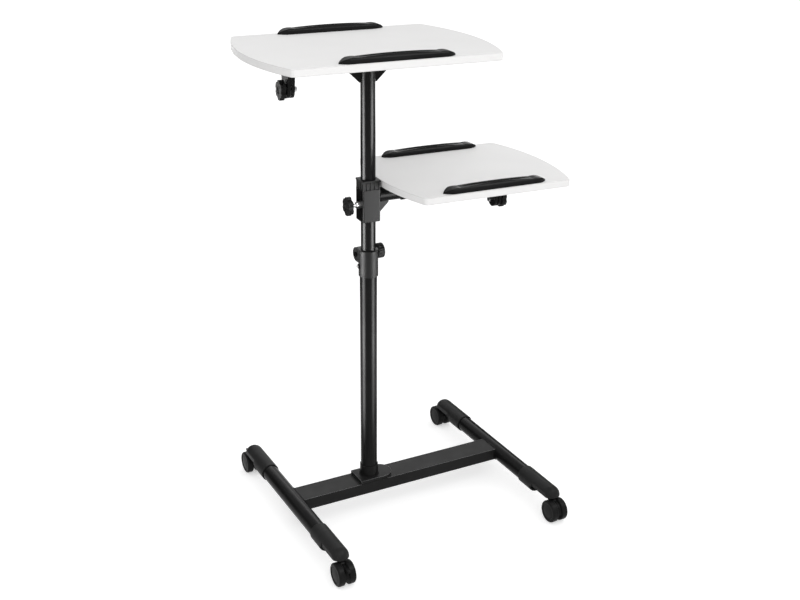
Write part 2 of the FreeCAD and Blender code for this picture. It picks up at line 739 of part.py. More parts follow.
def make_saddle(label, x, axis_height, swing):
    body = new_body(label, x, 0, axis_height, swing)
    strap = sketch_on(body, "YZ_Plane")
    outer = tube_hole + s.saddle_strap
    foot = outer + s.saddle_foot
    top, low = s.pivot_drop, s.pivot_drop - s.saddle_strap
    outline(strap, [
        (-foot, top),
        (-foot, low),
        (-outer, low),
        (-outer, 0, (0, -outer)),
        (outer, 0),
        (outer, low),
        (foot, low),
        (foot, top),
        (tube_hole, top),
        (tube_hole, 0, (0, -tube_hole)),
        (-tube_hole, 0),
        (-tube_hole, top),
    ])
    pad(body, strap, s.saddle_width, middle=True)


def make_ledges(name, top, shift, depth, swing):
    ledge_y = depth / 2 - s.ledge_inset - s.ledge_width / 2
    make_ledge(f"{name}_front_ledge", top, shift, -ledge_y, swing)
    make_ledge(f"{name}_rear_ledge", top, shift, ledge_y, swing)


# Knobs, bolts and nuts, drawn along +X from the face that a knob seats on

LOBED = {"radius": s.knob_radius, "head": s.knob_head, "hub": s.knob_hub, "hub_radius": s.knob_hub_radius,
         "count": s.knob_lobes, "scallop": s.knob_scallop, "bite": s.knob_bite}
RIBBED = {"radius": s.collar_knob_radius, "head": s.collar_knob_head, "hub": s.collar_knob_hub,
          "hub_radius": s.collar_knob_hub_radius, "count": s.collar_knob_ribs,
          "scallop": s.collar_knob_scallop, "bite": s.collar_knob_bite}


def make_knob(label, form, **spot):
    body = new_body(label, **spot)
    hub = sketch_on(body, "YZ_Plane")
    circle(hub, 0, 0, form["hub_radius"])
    pad(body, hub, form["hub"])
    head = sketch_on(body, "YZ_Plane", form["hub"])
    circle(head, 0, 0, form["radius"])
    disc = pad(body, head, form["head"])
    face_x = form["hub"] + form["head"]
    fillet(body, disc, lambda edge: is_ring(edge, form["radius"], x=face_x), s.knob_round)
    dish = sketch_on(body, "YZ_Plane", face_x - s.knob_dish)
    circle(dish, 0, 0, s.knob_dish_radius)
    pocket(body, dish, form["head"], reverse=True)
    hollow = sketch_on(body, "YZ_Plane", form["hub"])
    circle(hollow, form["radius"] + form["scallop"] - form["bite"], 0, form["scallop"])
    cut = pocket(body, hollow, form["head"] * 2, reverse=True)
    repeat_round(body, cut, head, form["count"])


def hexagon(sketch, radius):
    half, flat = radius / 2, radius * (DIAGONAL * math.sqrt(1.5))
    outline(sketch, [(radius, 0), (half, flat), (-half, flat), (-radius, 0), (-half, -flat), (half, -flat)])


def make_bolt(label, length, **spot):
    """A bolt that runs back from the knob's seat to a nut on its end."""
    body = new_body(label, **spot)
    shank = sketch_on(body, "YZ_Plane", -length)
    circle(shank, 0, 0, s.bolt_radius)
    pad(body, shank, length)
    nut = sketch_on(body, "YZ_Plane", -length)
    hexagon(nut, s.nut_radius)
    pad(body, nut, s.nut_height)


def make_clamp_knob(name, x, axis_height, swing, flip):
    spot = {"x": x, "z": axis_height - s.clamp_drop, "swing": swing, "flip": flip}
    make_knob(f"{name}_knob", LOBED, **spot)
    make_bolt(f"{name}_bolt", s.clamp_width + s.face_gap + s.bolt_end, **spot)


# Shelf carrier

def square(sketch, width):
    half = width / 2
    rectangle(sketch, -half, half, -half, half)


def make_sleeve():
    body = new_body("shelf_sleeve", z=sleeve_bottom, swing=s.shelf_turn)
    outside = sketch_on(body, "XY_Plane")
    square(outside, s.sleeve_width)
    block = pad(body, outside, s.sleeve_height)
    fillet(body, block, is_upright, s.sleeve_corner)
    inside = sketch_on(body, "XY_Plane")
    square(inside, s.sleeve_width - s.sleeve_wall * 2)
    pocket(body, inside, s.sleeve_height * 2, reverse=True)
    hole = sketch_on(body, "YZ_Plane", -s.sleeve_width)
    circle(hole, 0, sleeve_screw - sleeve_bottom, stud_hole)
    pocket(body, hole, s.sleeve_width, reverse=True)


def make_bush():
    """A square liner in the sleeve with a ribbed band and a flange above it."""
    body = new_body("shelf_bush", z=sleeve_bottom, swing=s.shelf_turn)
    core = sketch_on(body, "XY_Plane")
    square(core, s.sleeve_width - s.sleeve_wall * 2 - s.weld_gap * 2)
    pad(body, core, s.sleeve_height)
    band = sketch_on(body, "XY_Plane", s.sleeve_height)
    square(band, s.bush_band_width)
    pad(body, band, s.bush_band)
    notches = sketch_on(body, "XY_Plane", s.sleeve_height)
    face = s.bush_band_width / 2
    for place_in_row in (-1.5, -0.5, 0.5, 1.5):
        middle = s.bush_notch_pitch * place_in_row
        rectangle(notches, middle - s.bush_notch / 2, middle + s.bush_notch / 2,
                  s.bush_notch_depth - face, -face * 2)
    cut = pocket(body, notches, s.bush_band, reverse=True)
    repeat_round(body, cut, notches, 4)
    flange = sketch_on(body, "XY_Plane", s.sleeve_height + s.bush_band)
    square(flange, s.bush_flange_width)
    rim = pad(body, flange, s.bush_flange)
    fillet(body, rim, is_flange_corner, s.sleeve_corner)
    bore = sketch_on(body, "XY_Plane")
    circle(bore, 0, 0, tube_hole)
    pocket(body, bore, s.sleeve_height * 2, reverse=True)
    hole = sketch_on(body, "YZ_Plane", -s.sleeve_width)
    circle(hole, 0, sleeve_screw - sleeve_bottom, stud_hole)
    pocket(body, hole, s.sleeve_width, reverse=True)


def is_flange_corner(edge):
    return is_upright(edge) and abs(abs(edge.Vertexes[0].Point.x) - s.bush_flange_width.value / 2) < 1e-6


def make_shelf_arm():
    body = new_body("shelf_arm", z=shelf_axis, swing=s.shelf_turn)
    start = sleeve_half + s.weld_gap
    tube(body, "YZ_Plane", start, s.mast_radius, arm_end - start)


def make_sleeve_screw():
    spot = {"x": -sleeve_half - s.stud_length, "z": sleeve_screw, "swing": s.shelf_turn, "flip": True}
    make_knob("sleeve_knob", LOBED, **spot)
    length = sleeve_half + s.stud_length - s.mast_radius - s.face_gap
    stud = new_body("sleeve_stud", **spot)
    section = sketch_on(stud, "YZ_Plane", -length)
    circle(section, 0, 0, s.stud_radius)
    pad(stud, section, length)
    nut = new_body("sleeve_nut", -sleeve_half - s.weld_gap, 0, sleeve_screw, s.shelf_turn, True)
    ring = sketch_on(nut, "YZ_Plane")
    hexagon(ring, s.stud_nut_radius)
    circle(ring, 0, 0, stud_hole)
    pad(nut, ring, s.stud_nut_height)


# Groups

def make_frame():
    make_crossbar()
    for side, reach in SIDES:
        make_foot(side, reach)
        for end, sign, flip in ENDS:
            make_cap(end, side, reach, flip)
            make_caster(end, side, reach, sign, flip)
    make_base_plate()
    make_socket()


def make_column():
    make_lower_mast()
    make_collar()
    spot = {"x": s.ear_right + s.face_gap, "y": s.ear_reach, "z": ear_height}
    make_knob("collar_knob", RIBBED, **spot)
    make_bolt("collar_bolt", s.ear_left + s.ear_right + s.face_gap * 2 + s.nut_height, **spot)
    make_mast()
    make_cross_tube()
    make_plug("cross_tube_plug_left", -cross_tube_left, table_axis, s.mast_turn, flip=True)
    make_plug("cross_tube_plug_right", s.cross_tube_right, table_axis, s.mast_turn)
    for side, flip in (("right", False), ("left", True)):
        make_gusset(f"mast_gusset_{side}", table_axis, s.mast_radius, s.gusset_leg, s.gusset_drop,
                    s.mast_turn, flip)


def make_upper_table():
    make_board("table_board", s.table_height, s.table_shift, s.table_chord, s.table_bulge, s.table_depth,
               s.mast_turn)
    make_ledges("table", s.table_height, s.table_shift, s.table_depth, s.mast_turn)
    make_clamp_bracket("table_clamp_bracket", -s.table_clamp_reach, table_axis, s.mast_turn)
    make_saddle("table_saddle", s.table_saddle_reach, table_axis, s.mast_turn)
    seat = -s.table_clamp_reach - s.clamp_width / 2 - s.face_gap
    make_clamp_knob("table_tilt", seat, table_axis, s.mast_turn, flip=True)


def make_shelf():
    make_sleeve()
    make_bush()
    make_shelf_arm()
    make_plug("arm_plug", arm_end, shelf_axis, s.shelf_turn)
    make_gusset("arm_gusset", shelf_axis, sleeve_half, s.arm_gusset_leg, s.arm_gusset_leg, s.shelf_turn)
    make_sleeve_screw()
    make_board("shelf_board", s.shelf_height, s.shelf_shift, s.shelf_chord, s.shelf_bulge, s.shelf_depth,
               s.shelf_turn)
    make_ledges("shelf", s.shelf_height, s.shelf_ledge_shift, s.shelf_depth, s.shelf_turn)
    make_clamp_bracket("shelf_clamp_bracket", s.shelf_clamp_reach, shelf_axis, s.shelf_turn)
    make_saddle("shelf_saddle", s.shelf_saddle_reach, shelf_axis, s.shelf_turn)
    seat = s.shelf_clamp_reach + s.clamp_width / 2 + s.face_gap
    make_clamp_knob("shelf_tilt", seat, shelf_axis, s.shelf_turn, flip=False)


def write_parts():
    """Write one file per node, once every object is sound."""
    faults = [item.Name for item in doc.Objects if {"Invalid", "Error"} & set(item.State)]
    faults += [node.Label for node in nodes if node.Shape.isNull() or not node.Shape.isValid()]
    if faults:
        raise RuntimeError("unsound objects: " + ", ".join(faults))
    os.makedirs("parts", exist_ok=True)
    for node in nodes:
        node.Shape.exportStep(f"parts/{node.Label}.step")


make_frame()
make_column()
make_upper_table()
make_shelf()
doc.recompute()
write_parts()
print(len(nodes), "nodes")
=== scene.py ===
# Looks of the two-board projector table: finishes, small fastenings, weld beads, stage, light and camera.
import json
import math

import bpy
from mathutils import Matrix, Vector


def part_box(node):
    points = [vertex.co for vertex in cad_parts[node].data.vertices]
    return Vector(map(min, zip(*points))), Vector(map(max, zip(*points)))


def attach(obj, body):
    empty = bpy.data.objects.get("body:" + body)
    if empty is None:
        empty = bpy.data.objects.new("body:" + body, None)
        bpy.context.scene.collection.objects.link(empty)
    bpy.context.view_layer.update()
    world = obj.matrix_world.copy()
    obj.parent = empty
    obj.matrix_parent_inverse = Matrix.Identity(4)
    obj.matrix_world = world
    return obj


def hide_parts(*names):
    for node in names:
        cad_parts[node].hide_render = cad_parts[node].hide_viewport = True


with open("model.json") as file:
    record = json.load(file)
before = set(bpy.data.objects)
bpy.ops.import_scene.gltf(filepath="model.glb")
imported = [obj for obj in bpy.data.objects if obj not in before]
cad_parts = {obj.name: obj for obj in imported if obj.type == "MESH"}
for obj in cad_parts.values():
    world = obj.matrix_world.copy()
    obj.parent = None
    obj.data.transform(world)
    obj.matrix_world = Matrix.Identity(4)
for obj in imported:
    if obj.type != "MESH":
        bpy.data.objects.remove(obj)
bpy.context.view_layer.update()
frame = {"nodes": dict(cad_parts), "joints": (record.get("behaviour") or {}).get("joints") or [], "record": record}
NODES = frame["nodes"]
JOINTS = {joint["name"]: joint for joint in frame["joints"]}
MM = 0.001
UP = Vector((0, 0, 1))
WHITE = (1, 1, 1, 1)


# Places taken from the frame

def low(node):
    return Vector(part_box(node)[0])


def high(node):
    return Vector(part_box(node)[1])


def middle_of(node):
    return (low(node) + high(node)) / 2


def size_of(node):
    return high(node) - low(node)


def turned(joint_name):
    """The frame of a group that stands turned about the column: along its tilt axis, across it, and up."""
    along = Vector(JOINTS[joint_name]["axis"]).normalized()
    across = Vector((-along.y, along.x, 0))
    return Matrix((along, across, UP)).transposed()


COLUMN = Vector((*JOINTS["table_tilt"]["pos_m"][:2], 0))
TABLE_TURN = turned("table_tilt")
SHELF_TURN = turned("shelf_tilt")


def spot(turn, x, y, z):
    """A point given from the column axis, in a group's own turned frame."""
    return COLUMN + turn @ Vector((x, y, 0)) + z * UP


def centre_in(turn, node):
    """Middle of a node, from the column axis in a turned frame."""
    return turn.transposed() @ (middle_of(node) - COLUMN)


# Node helpers for the materials and the world

ROUNDING_SAMPLES = 6


class NodeTree:
    """A node tree under construction, with the few nodes that its users share."""

    def __init__(self, tree):
        self.nodes = tree.nodes
        self.links = tree.links

    def set(self, socket, value):
        if isinstance(value, bpy.types.NodeSocket):
            self.links.new(value, socket)
        else:
            socket.default_value = value

    def node(self, kind, **sockets):
        made = self.nodes.new(f"ShaderNode{kind}")
        for socket, value in sockets.items():
            self.set(made.inputs[socket.replace("_", " ")], value)
        return made

    def maths(self, operation, *values):
        made = self.node("Math")
        made.operation = operation
        for socket, value in zip(made.inputs, values):
            self.set(socket, value)
        return made.outputs[0]

    def dot(self, first, second):
        made = self.node("VectorMath")
        made.operation = "DOT_PRODUCT"
        self.set(made.inputs[0], first)
        self.set(made.inputs[1], second)
        return made.outputs["Value"]

    def spread(self, value, low_end, high_end, start=0.3, stop=0.7):
        """Map a value's range from start to stop onto low_end to high_end."""
        made = self.node("MapRange", Value=value, From_Min=start, From_Max=stop)
        self.set(made.inputs["To Min"], low_end)
        self.set(made.inputs["To Max"], high_end)
        return made.outputs["Result"]

    def seen(self):
        """1 for rays from the camera, in reflections and through glass, and 0 for the light on surfaces."""
        path = self.node("LightPath")
        seen = path.outputs["Is Camera Ray"]
        for kind in ("Is Glossy Ray", "Is Transmission Ray"):
            seen = self.maths("MAXIMUM", seen, path.outputs[kind])
        return seen


class Shader(NodeTree):
    """A node material under construction, with the textures that the finishes share."""

    def __init__(self, name, **settings):
        self.material = bpy.data.materials.new(name)
        self.material.use_nodes = True
        super().__init__(self.material.node_tree)
        self.surface = self.nodes["Principled BSDF"]
        for socket, value in settings.items():
            self.set(self.surface.inputs[socket.replace("_", " ")], value)
        self.place = self.node("TexCoord")

    def noise(self, size, detail=2.0, roughness=0.5, stretch=None):
        """Noise with features about as large as the size."""
        vector = self.place.outputs["Object"]
        if stretch:
            vector = self.node("Mapping", Vector=vector, Scale=stretch).outputs["Vector"]
        made = self.node("TexNoise", Vector=vector, Scale=1 / size, Detail=detail, Roughness=roughness)
        return made.outputs["Fac"]

    def blend(self, factor, first, second):
        made = self.node("Mix")
        made.data_type = "RGBA"
        colours = [socket for socket in made.inputs if socket.type == "RGBA"]
        self.set(made.inputs["Factor"], factor)
        for socket, colour in zip(colours, (first, second)):
            self.set(socket, colour)
        return next(socket for socket in made.outputs if socket.type == "RGBA")

    def clouded(self, first, second, size, detail):
        """Two colours that drift into each other."""
        return self.blend(self.spread(self.noise(size, detail), 0, 1), first, second)

    def uneven_sheen(self, roughness, size, detail=2.0):
        """Roughness that drifts between its two values."""
        return self.spread(self.noise(size, detail), *roughness)

    def rounded_normal(self, radius):
        """Normals that round a sharp edge off, as paint and moulds do."""
        made = self.node("Bevel", Radius=radius)
        made.samples = ROUNDING_SAMPLES
        return made.outputs["Normal"]

    def edge_wear_and_highlight(self, rounded):
        """How far the rounded normal leaves the face: 0 on the flats and 1 along sharp edges, which the coat
        lightens as wear and as a painted highlight.
        """
        face = self.node("NewGeometry").outputs["True Normal"]
        return self.spread(self.dot(rounded, face), 0, 1, start=0.98, stop=0.8)

    def bump(self, height, depth, under=None):
        made = self.node("Bump", Height=height, Distance=depth)
        if under:
            self.links.new(under, made.inputs["Normal"])
        return made.outputs["Normal"]

    def finish(self, colour, roughness, normal):
        self.links.new(colour, self.surface.inputs["Base Color"])
        self.links.new(roughness, self.surface.inputs["Roughness"])
        self.links.new(normal, self.surface.inputs["Normal"])
        return self.material


def grey(value, warmth=0.0):
    return (value * (1 + warmth), value, value * (1 - warmth), 1)


# Finishes

# A low index of refraction keeps the blacks dark before a white surround.
BLACK_IOR = 1.14
COAT_ROUNDING = 1.6 * MM
MOULD_ROUNDING = 0.8 * MM
DUST_SHADE = grey(0.05)
DUST_COVER = 0.12
LAMINATE_IOR = 1.12
LAMINATE_SHADES = (grey(0.80, warmth=0.004), grey(0.825, warmth=0.004))
LAMINATE_ROUGHNESS = (0.5, 0.6)
EDGE_BAND_SHADE = grey(0.84, warmth=0.006)
# Where the seam of an edge band starts and stops, in from the board's upper and lower faces
EDGE_BAND_SEAM = (1.5 * MM, 1.1 * MM)
SEAM_SHADE = grey(0.5, warmth=0.02)
SEAM_COVER = 0.35
PLATED_SHADES = (grey(0.42), grey(0.58))
PLATED_ROUGHNESS = (0.16, 0.34)
FLOOR_SHADES = (grey(0.79), grey(0.81))
FLOOR_ROUGHNESS = (0.8, 0.9)
FLOOR_LIFT = 0.46


def powder_coat(name, shades, roughness, edge_wear_and_highlight_shade):
    """Black powder coat: orange peel, faint clouds, a little dust, and edges lightened to a grey that is partly
    wear and partly a painted highlight.
    """
    shader = Shader(name, IOR=BLACK_IOR)
    dark, light = shades
    colour = shader.clouded(grey(dark), grey(light), size=90 * MM, detail=4)
    dust = shader.spread(shader.noise(size=1.5 * MM, detail=3), 0, 1, start=0.66, stop=0.8)
    colour = shader.blend(shader.maths("MULTIPLY", dust, DUST_COVER), colour, DUST_SHADE)
    rounded = shader.rounded_normal(COAT_ROUNDING)
    # Edges lightened: partly rubbed wear, partly a painted highlight where light would catch the rounded edge.
    patchy = shader.spread(shader.noise(size=6 * MM, detail=3), 0.5, 1.0)
    wear_and_highlight = shader.maths("MULTIPLY", patchy, shader.edge_wear_and_highlight(rounded))
    colour = shader.blend(wear_and_highlight, colour, grey(edge_wear_and_highlight_shade))
    sheen = shader.uneven_sheen(roughness, size=30 * MM, detail=5)
    peel = shader.bump(shader.noise(size=1.8 * MM, detail=1), depth=0.008 * MM, under=rounded)
    grain = shader.bump(shader.noise(size=0.4 * MM), depth=0.002 * MM, under=peel)
    return shader.finish(colour, sheen, grain)


def moulded(name, shades, roughness, grain_size, grain_depth):
    """Moulded black plastic: fine spark-eroded grain, slight flow marks and uneven sheen."""
    shader = Shader(name, IOR=BLACK_IOR)
    dark, light = shades
    flow = shader.noise(size=50 * MM, detail=3, stretch=(1, 1, 0.35))
    colour = shader.blend(shader.spread(flow, 0, 1), grey(dark), grey(light))
    sheen = shader.uneven_sheen(roughness, size=12 * MM, detail=4)
    rounded = shader.rounded_normal(MOULD_ROUNDING)
    swell = shader.bump(shader.noise(size=6 * MM), depth=0.03 * MM, under=rounded)
    grain = shader.bump(shader.noise(grain_size, roughness=0.6), grain_depth, under=swell)
    return shader.finish(colour, sheen, grain)


def laminate(node):
    """White laminate with a pearl surface, and a lighter edge band with a fine seam above and below."""
    shader = Shader(f"white_laminate_{node}", IOR=LAMINATE_IOR)
    height = shader.node("SeparateXYZ", Vector=shader.place.outputs["Object"]).outputs["Z"]
    facing = shader.node("SeparateXYZ", Vector=shader.place.outputs["Normal"]).outputs["Z"]
    on_edge = shader.spread(shader.maths("ABSOLUTE", facing), 1, 0, start=0.35, stop=0.6)
    from_middle = shader.maths("ABSOLUTE", shader.maths("SUBTRACT", height, middle_of(node).z))
    seam_start, seam_stop = (size_of(node).z / 2 - inset for inset in EDGE_BAND_SEAM)
    seam = shader.maths("MULTIPLY", shader.spread(from_middle, 0, 1, seam_start, seam_stop), on_edge)
    colour = shader.clouded(*LAMINATE_SHADES, size=160 * MM, detail=5)
    colour = shader.blend(on_edge, colour, EDGE_BAND_SHADE)
    colour = shader.blend(shader.maths("MULTIPLY", seam, SEAM_COVER), colour, SEAM_SHADE)
    sheen = shader.uneven_sheen(LAMINATE_ROUGHNESS, size=20 * MM, detail=4)
    pearl = shader.bump(shader.noise(size=1.2 * MM), depth=0.01 * MM)
    return shader.finish(colour, sheen, pearl)


def plated():
    """Bright zinc-plated steel with fine turning marks."""
    shader = Shader("bright_plated_steel", Metallic=1.0)
    colour = shader.clouded(*PLATED_SHADES, size=4 * MM, detail=4)
    sheen = shader.uneven_sheen(PLATED_ROUGHNESS, size=1.2 * MM, detail=3)
    marks = shader.bump(shader.noise(size=0.5 * MM, stretch=(6, 1, 1)), depth=0.02 * MM)
    return shader.finish(colour, sheen, marks)


def floor_finish():
    """Pale floor: white to the eye and in reflections, and it keeps the shadow of the object."""
    shader = Shader("pale_floor", Specular_IOR_Level=0.0, Emission_Color=WHITE)
    lift = shader.maths("MULTIPLY", shader.seen(), FLOOR_LIFT)
    shader.set(shader.surface.inputs["Emission Strength"], lift)
    colour = shader.clouded(*FLOOR_SHADES, size=400 * MM, detail=3)
    sheen = shader.uneven_sheen(FLOOR_ROUGHNESS, size=100 * MM)
    grain = shader.bump(shader.noise(size=2 * MM), depth=0.02 * MM)
    return shader.finish(colour, sheen, grain)


# The finish of each material slot of the record, apart from the boards' laminate, which fits its own board.
# The numbers are the darkest and lightest shade, least and most roughness, and size and depth of the grain.
FINISHES = {
    "black_steel": powder_coat("black_powder_coat", (0.006, 0.0095), (0.2, 0.27), edge_wear_and_highlight_shade=0.03),
    "black_plastic": moulded("black_moulding", (0.016, 0.022), (0.38, 0.48), 0.5 * MM, 0.01 * MM),
    "knob_plastic": moulded("black_knob", (0.011, 0.016), (0.3, 0.4), 0.7 * MM, 0.01 * MM),
    "ledge_plastic": moulded("black_ledge", (0.008, 0.012), (0.32, 0.44), 0.9 * MM, 0.015 * MM),
    "bright_steel": plated(),
    "caster_plastic": moulded("black_housing", (0.006, 0.009), (0.32, 0.42), 0.6 * MM, 0.01 * MM),
    "caster_wheel": moulded("black_wheel", (0.008, 0.012), (0.32, 0.42), 0.8 * MM, 0.01 * MM),
}
# The crossbar and base plate take a rougher copy of the black coat. Its lighter shades are painted light on the
# base, and its much lighter edges are a painted edge highlight as well as wear.
WELDED_BASE = ("crossbar", "base_plate")
BASE_COAT_PAINTED_LIGHTER = powder_coat("black_satin_coat_painted_lighter", (0.012, 0.017), (0.32, 0.4), edge_wear_and_highlight_shade=0.34)


def dress_nodes():
    for part in frame["record"]["subparts"]:
        node = part["node"]
        finish = FINISHES.get(part["material_slot"]) or laminate(node)
        # The crossbar and base plate get the copy of the coat that is painted lighter.
        if node in WELDED_BASE:
            finish = BASE_COAT_PAINTED_LIGHTER
        for holder in NODES[node].material_slots:
            holder.material = finish


# Mesh helpers for the pieces that are added here

def add_mesh(name, points, faces, material):
    mesh = bpy.data.meshes.new(name)
    mesh.from_pydata([tuple(point) for point in points], [], faces)
    mesh.materials.append(material)
    made = bpy.data.objects.new(name, mesh)
    bpy.context.scene.collection.objects.link(made)
    return made


def add_piece(name, points, faces, body, slot_name, smooth=True):
    """A piece that rides on a body and takes its finish from a material slot of the record."""
    piece = add_mesh(name, points, faces, FINISHES[slot_name])
    piece.data.validate()
    for polygon in piece.data.polygons:
        polygon.use_smooth = smooth
    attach(piece, body)
    return piece


def round_angles(steps):
    return [2 * math.pi * step / steps for step in range(steps)]


def round_point(centre, side, up, radius, angle):
    return centre + radius * (math.cos(angle) * side + math.sin(angle) * up)


def ring_faces(rings, around, closed=False):
    """Quads between successive rings of points."""
    faces = []
    for ring in range(rings if closed else rings - 1):
        this = ring * around
        following = (ring + 1) % rings * around
        for step in range(around):
            after = (step + 1) % around
            faces.append((this + step, this + after, following + after, following + step))
    return faces


def end_faces(rings, around):
    """The first ring as a face that looks back, and the last one as a face that looks ahead."""
    last = (rings - 1) * around
    return [tuple(range(around))[::-1], tuple(range(last, last + around))]


# Weld beads

BEAD_SIDES = 10
BEAD_STEP = 1.2 * MM
BEAD_DIP = 0.18
BEAD_RIPPLE = 3
RING_STEPS = 96
FOOT_BEAD = 2.0 * MM
PLATE_BEAD = 2.4 * MM
PLATE_RIPPLE = 3.5
PLATE_BEAD_INSET = 1.2 * MM
PLATE_BEAD_RISE = 0.6 * MM
PLATE_BEAD_OVERRUN = 8 * MM
SOCKET_BEAD = 1.8 * MM
SOCKET_STEPS = 120
TUBE_BEAD = 1.6 * MM
COPE_REACH = 0.93
ARM_BEAD_BITE = 0.2 * MM
ARM_BEAD_START = 1.2 * MM


def bead(name, path, radius, body, ripple=BEAD_RIPPLE, closed=True):
    """A weld bead: a rope of overlapping ripples along a path, each as many points long as ripple says."""
    count = len(path)
    points = []
    for index, point in enumerate(path):
        before = path[index - 1] if index or closed else point
        after = path[(index + 1) % count] if index + 1 < count or closed else point
        forward = (after - before).normalized()
        side = forward.orthogonal().normalized()
        up = forward.cross(side)
        swell = radius * (1 - BEAD_DIP + BEAD_DIP * abs(math.sin(math.pi * index / ripple)))
        points += [round_point(point, side, up, swell, angle) for angle in round_angles(BEAD_SIDES)]
    faces = ring_faces(count, BEAD_SIDES, closed)
    if not closed:
        faces += end_faces(count, BEAD_SIDES)
    add_piece(name, points, faces, body, "black_steel")


def stretch_path(corners, closed=True):
    """Points about a bead step apart along straight runs between corners."""
    path = []
    stops = corners[1:] + corners[:1] if closed else corners[1:]
    for start, stop in zip(corners, stops):
        count = max(1, round((stop - start).length / BEAD_STEP))
        path += [start.lerp(stop, index / count) for index in range(count)]
    if not closed:
        path.append(corners[-1])
    return path


def weld_crossbar():
    """Where the crossbar is coped to each foot tube."""
    half_width = size_of("crossbar").y / 2
    half_depth = size_of("crossbar").z / 2
    corners = [Vector((0, -half_width, half_depth)), Vector((0, half_width, half_depth)),
               Vector((0, half_width, -half_depth)), Vector((0, -half_width, -half_depth))]
    for side, inward in (("left", 1), ("right", -1)):
        axis = middle_of(f"foot_{side}")
        radius = size_of(f"foot_{side}").z / 2
        path = []
        for point in stretch_path(corners):
            out = math.sqrt(radius ** 2 - point.z ** 2)
            path.append(axis + Vector((inward * out, point.y, point.z)))
        bead(f"foot_weld_{side}", path, FOOT_BEAD, "base")


def weld_plate():
    """The base plate is welded along its front and rear edges, and the socket all round its foot."""
    plate_low, plate_high = low("base_plate"), high("base_plate")
    straight = plate_high.x - size_of("base_plate").y / 2
    for name, edge, inward in (("front", plate_low.y, 1), ("rear", plate_high.y, -1)):
        y = edge + inward * PLATE_BEAD_INSET
        z = plate_low.z + PLATE_BEAD_RISE
        corners = [Vector((plate_low.x, y, z)), Vector((straight + PLATE_BEAD_OVERRUN, y, z))]
        path = stretch_path(corners, closed=False)
        bead(f"plate_weld_{name}", path, PLATE_BEAD, "base", PLATE_RIPPLE, closed=False)
    foot = COLUMN + plate_high.z * UP
    radius = size_of("column_socket").x / 2
    ahead, aside = Vector((1, 0, 0)), Vector((0, 1, 0))
    ring = [round_point(foot, ahead, aside, radius, angle) for angle in round_angles(SOCKET_STEPS)]
    bead("socket_weld", ring, SOCKET_BEAD, "base")


def weld_mast():
    """The mast is coped to the cross tube."""
    axis_z = middle_of("cross_tube").z
    radius = size_of("cross_tube").z / 2
    path = []
    for angle in round_angles(RING_STEPS):
        x, y = radius * math.cos(angle), radius * math.sin(angle)
        coped = max(-COPE_REACH * radius, min(COPE_REACH * radius, y))
        path.append(spot(TABLE_TURN, x, y, axis_z - math.sqrt(radius ** 2 - coped ** 2)))
    bead("mast_weld", path, TUBE_BEAD, "mast")


def weld_arm():
    """The shelf arm butts on the sleeve."""
    half_length = size_of("shelf_arm").x / 2 / SHELF_TURN[0][0]
    start = centre_in(SHELF_TURN, "shelf_arm").x - half_length + ARM_BEAD_START
    face = spot(SHELF_TURN, start, 0, middle_of("shelf_arm").z)
    across = SHELF_TURN @ Vector((0, 1, 0))
    radius = size_of("cross_tube").z / 2 + ARM_BEAD_BITE
    path = [round_point(face, across, UP, radius, angle) for angle in round_angles(RING_STEPS)]
    bead("arm_weld", path, TUBE_BEAD, "shelf_carrier")


# The gusset under the shelf arm

ARM_GUSSET_LEG = 27 * MM
ARM_GUSSET_BLUNT = 3 * MM
ARM_GUSSET_THICKNESS = 4 * MM


def add_arm_gusset():
    """The gusset plate between the sleeve and the arm, in full size: its solid is smaller."""
    cosine, sine = SHELF_TURN[0][0], abs(SHELF_TURN[0][1])
    solid_leg = (size_of("arm_gusset").x - sine * ARM_GUSSET_THICKNESS) / cosine
    inner = centre_in(SHELF_TURN, "arm_gusset").x - solid_leg / 2
    top = high("arm_gusset").z
    outline = ((0, 0), (ARM_GUSSET_LEG, 0), (ARM_GUSSET_LEG, -ARM_GUSSET_BLUNT),
               (ARM_GUSSET_BLUNT, -ARM_GUSSET_LEG), (0, -ARM_GUSSET_LEG))
    points = []
    for y in (-ARM_GUSSET_THICKNESS / 2, ARM_GUSSET_THICKNESS / 2):
        points += [spot(SHELF_TURN, inner + x, y, top + z) for x, z in outline]
    faces = ring_faces(2, len(outline)) + end_faces(2, len(outline))
    plate = add_piece("arm_gusset_plate", points, faces, "shelf_carrier", "black_steel", smooth=False)
    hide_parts("arm_gusset")


# Screws

HEAD_STEPS = 48
# Shares of a head's radius and height, from its seat up to the recess
HEAD_PROFILE = ((1.0, 0.0), (1.0, 0.25), (0.93, 0.55), (0.78, 0.8), (0.6, 0.95))
# Shares of the recess's reach and of the head's height, from the recess's mouth down to its bottom
RECESS_PROFILE = ((1.0, 0.95), (0.8, 0.45))
RECESS_ARM = 0.52
RECESS_HALF_WIDTH = 0.13
NO_ZERO = 1e-6

BOARD_HEAD = 4.2 * MM
SADDLE_HEAD_HEIGHT = 2.4 * MM
LEDGE_HEAD_HEIGHT = 2.2 * MM
SADDLE_STRAP = 2.5 * MM
SADDLE_SCREW_REACH = 27 * MM
LEDGE_SCREW_REACH = 80 * MM

SET_SCREW_PLACE = Vector((-21.3 * MM, 3 * MM, -37 * MM))
SET_SCREW_OUTWARD = Vector((-1, 0.14, 0))
SET_NUT_HEAD = (6.0 * MM, 3.0 * MM)
SET_SCREW_HEAD = (3.4 * MM, 5.5 * MM)


def cross_hole(angle):
    """Share of a head's radius that its cross recess reaches in that direction."""
    along = max(abs(math.cos(angle)), NO_ZERO)
    across = max(abs(math.sin(angle)), NO_ZERO)
    lengthwise = min(RECESS_ARM / along, RECESS_HALF_WIDTH / across)
    crosswise = min(RECESS_ARM / across, RECESS_HALF_WIDTH / along)
    return max(lengthwise, crosswise)


